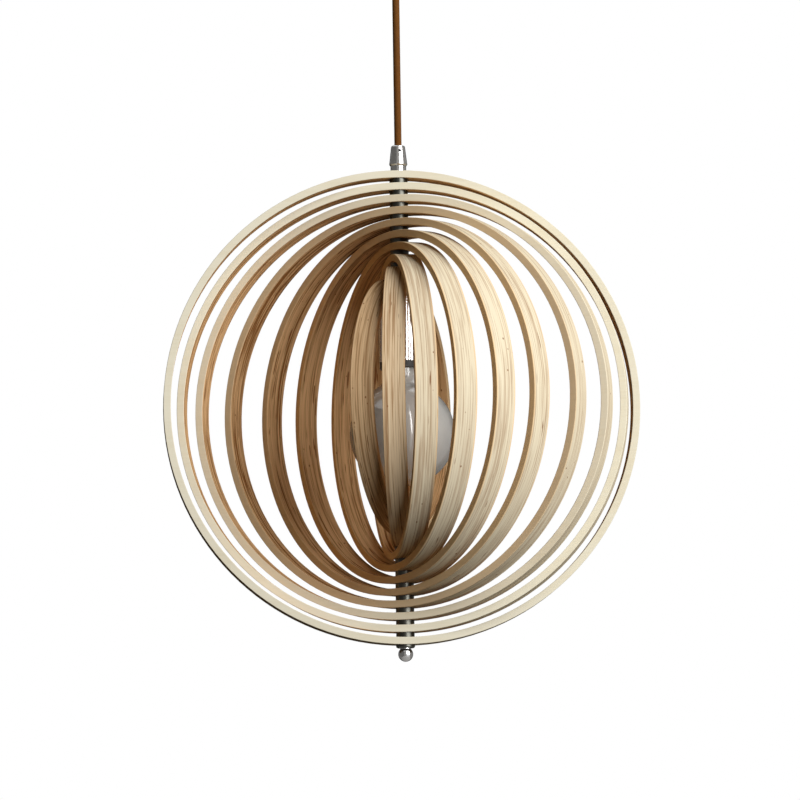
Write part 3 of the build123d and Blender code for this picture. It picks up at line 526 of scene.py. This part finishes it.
class LAMP_OT_braid_cord(bpy.types.Operator):
    """Braid the cord between the two grips"""

    bl_idname = "lamp.braid_cord"
    bl_label = "Braid Cord"

    def route(self, context, diameter):
        """Points along the cord's line."""
        curve = bpy.data.curves.new("cord_route", "CURVE")
        curve.dimensions = "3D"
        curve.resolution_u = 12
        spline = curve.splines.new("NURBS")
        hold = 6 * diameter
        heights = (LAMP_MOUTH, LAMP_MOUTH + hold, CANOPY_MOUTH - hold, CANOPY_MOUTH)
        spline.points.add(len(heights) - 1)
        for point, height in zip(spline.points, heights):
            point.co = (0, 0, height, 1)
        spline.order_u = 3
        spline.use_endpoint_u = True
        guide = bpy.data.objects.new("cord_route", curve)
        context.scene.collection.objects.link(guide)
        context.view_layer.update()
        line = bpy.data.meshes.new_from_object(guide.evaluated_get(context.evaluated_depsgraph_get()))
        points = [v.co.copy() for v in line.vertices]
        bpy.data.objects.remove(guide)
        bpy.data.curves.remove(curve)
        bpy.data.meshes.remove(line)
        return points

    def execute(self, context):
        look = context.scene.lamp_look.cord
        points = self.route(context, look.diameter)
        radius = look.diameter / 2
        low, high = points[0].z, points[-1].z
        inset = radius * 0.9
        sides = 8 * look.carriers
        bm = bmesh.new()
        loop = bmesh.ops.create_circle(bm, segments=sides, radius=radius)["verts"]
        bmesh.ops.translate(bm, verts=loop, vec=(0, 0, low - inset))
        grown = bmesh.ops.extrude_edge_only(bm, edges=bm.edges[:])["geom"]
        upper = [v for v in grown if isinstance(v, bmesh.types.BMVert)]
        bmesh.ops.translate(bm, verts=upper, vec=(0, 0, high - low + 2 * inset))
        upright = [e for e in bm.edges if not e.is_boundary]
        bmesh.ops.subdivide_edges(bm, edges=upright, cuts=CORD_RINGS - 1, use_grid_fill=True)
        # Each yarn rises where it passes over, and the ends are rounded inside the grips
        for v in bm.verts:
            turn = math.atan2(v.co.y, v.co.x) * look.carriers / (2 * math.pi)
            rise = v.co.z * look.carriers / look.lay
            first, second = turn + rise, turn - rise
            lead = first if (math.floor(first) + math.floor(second)) % 2 else second
            crown = math.sin(math.pi * (lead - math.floor(lead)))
            beyond = max(low - v.co.z, v.co.z - high, 0)
            size = math.sqrt(max(radius**2 - beyond**2, 0)) - look.relief * (1 - crown)
            outward = Vector((v.co.x, v.co.y, 0)).normalized()
            v.co = outward * size + Vector((0, 0, v.co.z))
        bmesh.ops.holes_fill(bm, edges=[e for e in bm.edges if e.is_boundary], sides=0)
        bmesh.ops.recalc_face_normals(bm, faces=bm.faces)
        mesh = bpy.data.meshes.new("braided_cord")
        bm.to_mesh(mesh)
        bm.free()
        mesh.shade_smooth()
        cord = bpy.data.objects.new("braided_cord", mesh)
        context.scene.collection.objects.link(cord)
        finish = braid_material(look)
        mesh.materials.append(finish)
        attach(cord, "cord")
        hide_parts("pendant_cord")
        dress(("cord_end", "canopy_cord_end", "pendant_cord"), finish)
        return {"FINISHED"}


class LAMP_OT_dress_hoops(bpy.types.Operator):
    """Give each hoop its own sheet of plywood"""

    bl_idname = "lamp.dress_hoops"
    bl_label = "Dress Hoops"

    def execute(self, context):
        look = context.scene.lamp_look.hoops
        sheet = plywood_group(look.plies)
        darker = [a / b for a, b in zip(look.veneer_streak, look.veneer)]
        for number, turn in enumerate(HOOP_TURNS, start=1):
            name = f"hoop_{number:02d}"
            finish, graph, shader = material(f"plywood_{name}")
            at = graph.place(graph.object_place(), location=-GLOBE, rotation=(0, 0, math.radians(turn)))
            # The face colour carries painted shade on the inner hoops, and painted light where a hoop's
            # faces are made paler
            veneer = between(look.veneer, look.shaded_veneer, PAINTED_SHADE_FACES[number - 1])
            veneer = [min(1, c * PAINTED_LIGHT_FACES[number - 1]) for c in veneer]
            wood = graph.group(
                sheet, Vector=at, Seed=1.0 + 3.7 * number, Middle=HOOP_MIDDLE - HOOP_PITCH * (number - 1),
                Warmth=PAINTED_SHADE_OUTSIDE[number - 1], Outer_stripes=OUTER_STRIPES[number - 1],
                Inner_stripes=INNER_STRIPES[number - 1], Veneer=veneer,
                Streak=[c * s for c, s in zip(veneer, darker)],
                Outer=look.outer_ply[:], Inner=look.inner_ply_and_shade[:],
                Brown=look.brown_ply[:], Glue=look.glue[:], Fleck=look.fleck[:],
            )
            graph.feed(shader["Base Color"], wood["Color"])
            graph.feed(shader["Roughness"], wood["Roughness"])
            # Only the faces are lacquered, so the sawn edges have no gloss
            shader["Specular IOR Level"].default_value = 0.0
            graph.feed(shader["Coat Weight"], graph.span(wood["Lacquer"], 0.0, LACQUER_WEIGHT))
            shader["Coat Roughness"].default_value = LACQUER_ROUGHNESS
            graph.feed(shader["Normal"], graph.bump(wood["Height"], 0.0002, 0.5))
            dress((name,), finish)
        return {"FINISHED"}


class LAMP_OT_dress_metal(bpy.types.Operator):
    """Plate, turn and polish the metal pieces"""

    bl_idname = "lamp.dress_metal"
    bl_label = "Dress Metal"

    def execute(self, context):
        look = context.scene.lamp_look.metal
        marks = marks_group()
        dress(CHROME_NODES, metal_material("chrome", look.chrome, 0.09, 0.17, 45.0, marks))
        turned = metal_material("turned_steel", look.turned, 0.26, 0.40, 60.0, marks, turned=True)
        dress(TURNED_AND_SHADED_NODES, turned)
        dress(ZINC_NODES, metal_material("zinc_steel", look.zinc, 0.30, 0.46, 120.0, marks, 0.35))
        dress(GRUB_NODES, metal_material("blackened_steel", look.blackened, 0.38, 0.52, 150.0, marks, 0.35))
        dress(BRASS_NODES, metal_material("brass", look.brass, 0.22, 0.38, 140.0, marks, 0.35))
        cap = metal_material("cap_metal", look.aluminium, 0.24, 0.40, 90.0, marks, 0.35)
        dress(("bulb_cap", "bulb_tip_contact"), cap)
        heat_sink = metal_material("heat_sink", look.aluminium, 0.40, 0.55, 110.0, marks, 0.35)
        dress(("bulb_heat_sink",), heat_sink)
        return {"FINISHED"}


class LAMP_OT_dress_plastic(bpy.types.Operator):
    """Mould the lampholder, the terminal block, the cores and the boards"""

    bl_idname = "lamp.dress_plastic"
    bl_label = "Dress Plastic"

    def execute(self, context):
        marks = bpy.data.node_groups["handling_marks"]
        dress(("holder_body", "bulb_cap_insulator"),
              plastic_material("black_plastic", (0.012, 0.012, 0.012, 1), 0.32, 0.5, marks))
        dress(("terminal_block",),
              plastic_material("white_plastic", (0.82, 0.82, 0.79, 1), 0.35, 0.5, marks))
        for name, tint in (
            ("live", (0.16, 0.055, 0.018, 1)),
            ("neutral", (0.03, 0.11, 0.42, 1)),
            ("earth", (0.16, 0.40, 0.04, 1)),
        ):
            jacket = plastic_material(f"{name}_jacket", tint, 0.25, 0.4, marks)
            dress((f"{name}_core", f"canopy_{name}_core"), jacket)
        dress(("bulb_led_board",),
              plastic_material("light_board", (0.84, 0.84, 0.82, 1), 0.3, 0.42, marks))
        dress(("bulb_leds",), plastic_material("led_lens", (0.85, 0.62, 0.08, 1), 0.12, 0.25, marks))
        dress(("bulb_driver",), plastic_material("driver_board", (0.02, 0.13, 0.04, 1), 0.3, 0.45, marks))
        return {"FINISHED"}


class LAMP_OT_dress_bulb(bpy.types.Operator):
    """Give the bulb its opal glass"""

    bl_idname = "lamp.dress_bulb"
    bl_label = "Dress Bulb"

    def execute(self, context):
        look = context.scene.lamp_look.bulb
        finish, graph, shader = material("opal_glass")
        at = graph.object_place()
        cloud = graph.noise(at, 0.0, scale=55, detail=3)
        dense = graph.step(cloud, 0.35, 0.7)
        graph.feed(shader["Base Color"], graph.mix(dense, look.glass[:], look.cloud[:]))
        graph.feed(shader["Roughness"], graph.span(cloud, 0.06, 0.14))
        shader["Specular IOR Level"].default_value = 0.9
        shader["Coat Weight"].default_value = 1.0
        shader["Coat Roughness"].default_value = 0.04
        ripple = graph.noise(at, 2.0, scale=30, detail=1)
        graph.feed(shader["Normal"], graph.bump(ripple, 0.0003, 0.15))
        dress(("bulb_glass",), finish)
        return {"FINISHED"}


class LAMP_OT_set_stage(bpy.types.Operator):
    """Set up the floor, the backdrop and the light"""

    bl_idname = "lamp.set_stage"
    bl_label = "Set Stage"

    def white_to_view(self, graph):
        """1 for rays that show the background: straight from the camera, off metal or through glass."""
        path = graph.node("ShaderNodeLightPath").outputs
        seen = graph.math("MAXIMUM", path["Is Camera Ray"], path["Is Glossy Ray"])
        return graph.math("MAXIMUM", seen, path["Is Transmission Ray"])

    def world(self, scene, look):
        world = bpy.data.worlds.new("studio")
        world.use_nodes = True
        scene.world = world
        graph = Graph(world.node_tree)
        around = world.node_tree.nodes["Background"]
        around.inputs["Color"].default_value = AMBIENT_TINT
        around.inputs["Strength"].default_value = look.ambient
        white = graph.node("ShaderNodeBackground")
        white.inputs["Color"].default_value = (1, 1, 1, 1)
        choice = graph.node("ShaderNodeMixShader")
        graph.feed(choice.inputs[0], self.white_to_view(graph))
        graph.feed(choice.inputs[1], around.outputs[0])
        graph.feed(choice.inputs[2], white.outputs[0])
        graph.feed(world.node_tree.nodes["World Output"].inputs["Surface"], choice.outputs[0])

    def card(self, scene, name, size, place, aim):
        """A flat card that faces a point."""
        bm = bmesh.new()
        bmesh.ops.create_grid(bm, x_segments=1, y_segments=1, size=0.5)
        bmesh.ops.scale(bm, verts=bm.verts, vec=(*size, 1))
        turn = (Vector(aim) - Vector(place)).to_track_quat("Z", "Y").to_matrix().to_4x4()
        bmesh.ops.transform(bm, verts=bm.verts, matrix=Matrix.Translation(place) @ turn)
        mesh = bpy.data.meshes.new(name)
        bm.to_mesh(mesh)
        bm.free()
        made = bpy.data.objects.new(name, mesh)
        scene.collection.objects.link(made)
        return made

    def grey_card(self, name, grey):
        """A card that shows as the same grey from all sides and lights nothing."""
        finish, _, shader = material(name)
        shader["Base Color"].default_value = (0, 0, 0, 1)
        shader["Specular IOR Level"].default_value = 0.0
        shader["Emission Color"].default_value = (grey, grey * 0.96, grey * 0.90, 1)
        shader["Emission Strength"].default_value = 1.0
        finish.cycles.emission_sampling = "NONE"
        return finish

    def around(self, turn, rise, distance):
        """A point that far from the globe, turned right from the camera's side and raised, in degrees."""
        turn, rise = math.radians(turn), math.radians(rise)
        level = math.cos(rise)
        return GLOBE + Vector((level * math.sin(turn), -level * math.cos(turn), math.sin(rise))) * distance

    def lamp(self, scene, name, place, size, power, tint):
        """A flat lamp that faces the globe."""
        data = bpy.data.lights.new(name, "AREA")
        data.shape = "RECTANGLE"
        data.size, data.size_y = size
        data.energy = power
        data.color = tint
        made = bpy.data.objects.new(name, data)
        made.location = place
        made.rotation_euler = (GLOBE - place).to_track_quat("-Z", "Y").to_euler()
        scene.collection.objects.link(made)

    def execute(self, context):
        scene = context.scene
        look = scene.lamp_look.stage
        scene.view_settings.view_transform = "Standard"
        self.world(scene, look)
        self.lamp(scene, "key_lamp", self.around(*KEY_PLACE), KEY_SIZE, look.key_power, KEY_TINT)
        self.lamp(scene, "back_lamp", self.around(*BACK_PLACE), BACK_SIZE, look.back_power, BACK_TINT)
        for name, turn, width, grey in CARDS:
            card = self.card(scene, name, (width, CARD_HEIGHT), self.around(turn, 0, CARD_DISTANCE), GLOBE)
            card.data.materials.append(self.grey_card(name, grey))
            card.visible_camera = False
            card.visible_diffuse = False
            card.visible_shadow = False
            card.visible_transmission = False
        pale, graph, shader = material("pale_floor")
        shader["Base Color"].default_value = look.floor[:]
        shader["Roughness"].default_value = 0.9
        see_through = graph.node("ShaderNodeBsdfTransparent")
        choice = graph.node("ShaderNodeMixShader")
        graph.feed(choice.inputs[0], graph.node("ShaderNodeNewGeometry").outputs["Backfacing"])
        graph.feed(choice.inputs[1], pale.node_tree.nodes["Principled BSDF"].outputs[0])
        graph.feed(choice.inputs[2], see_through.outputs[0])
        graph.feed(pale.node_tree.nodes["Material Output"].inputs["Surface"], choice.outputs[0])
        above = (0, 0, look.floor_height + 1)
        floor = self.card(scene, "floor", FLOOR_SIZE, (0, 0, look.floor_height), above)
        floor.data.materials.append(pale)
        floor.visible_diffuse = False
        return {"FINISHED"}


STEPS = (
    LAMP_OT_place_camera, LAMP_OT_braid_cord, LAMP_OT_dress_hoops, LAMP_OT_dress_metal,
    LAMP_OT_dress_plastic, LAMP_OT_dress_bulb, LAMP_OT_set_stage,
)


class LAMP_PT_sidebar(bpy.types.Panel):
    """Steps and settings of the lamp"""

    bl_idname = "LAMP_PT_sidebar"
    bl_label = "Globe Pendant Light"
    bl_space_type = "VIEW_3D"
    bl_region_type = "UI"
    bl_category = "Lamp"

    def draw(self, context):
        look = context.scene.lamp_look
        for step in STEPS:
            self.layout.operator(step.bl_idname)
        for group in (look.hoops, look.metal, look.cord, look.bulb, look.stage):
            box = self.layout.box()
            for name in group.__annotations__:
                box.prop(group, name)


CLASSES = (HoopLook, MetalLook, CordLook, BulbLook, StageLook, LampLook, *STEPS, LAMP_PT_sidebar)


def register():
    for cls in CLASSES:
        bpy.utils.register_class(cls)
    bpy.types.Scene.lamp_look = PointerProperty(type=LampLook)


def unregister():
    del bpy.types.Scene.lamp_look
    for cls in reversed(CLASSES):
        bpy.utils.unregister_class(cls)


def main():
    register()
    bpy.ops.lamp.place_camera()
    bpy.ops.lamp.braid_cord()
    bpy.ops.lamp.dress_hoops()
    bpy.ops.lamp.dress_metal()
    bpy.ops.lamp.dress_plastic()
    bpy.ops.lamp.dress_bulb()
    bpy.ops.lamp.set_stage()


if __name__ == "__main__":
    main()
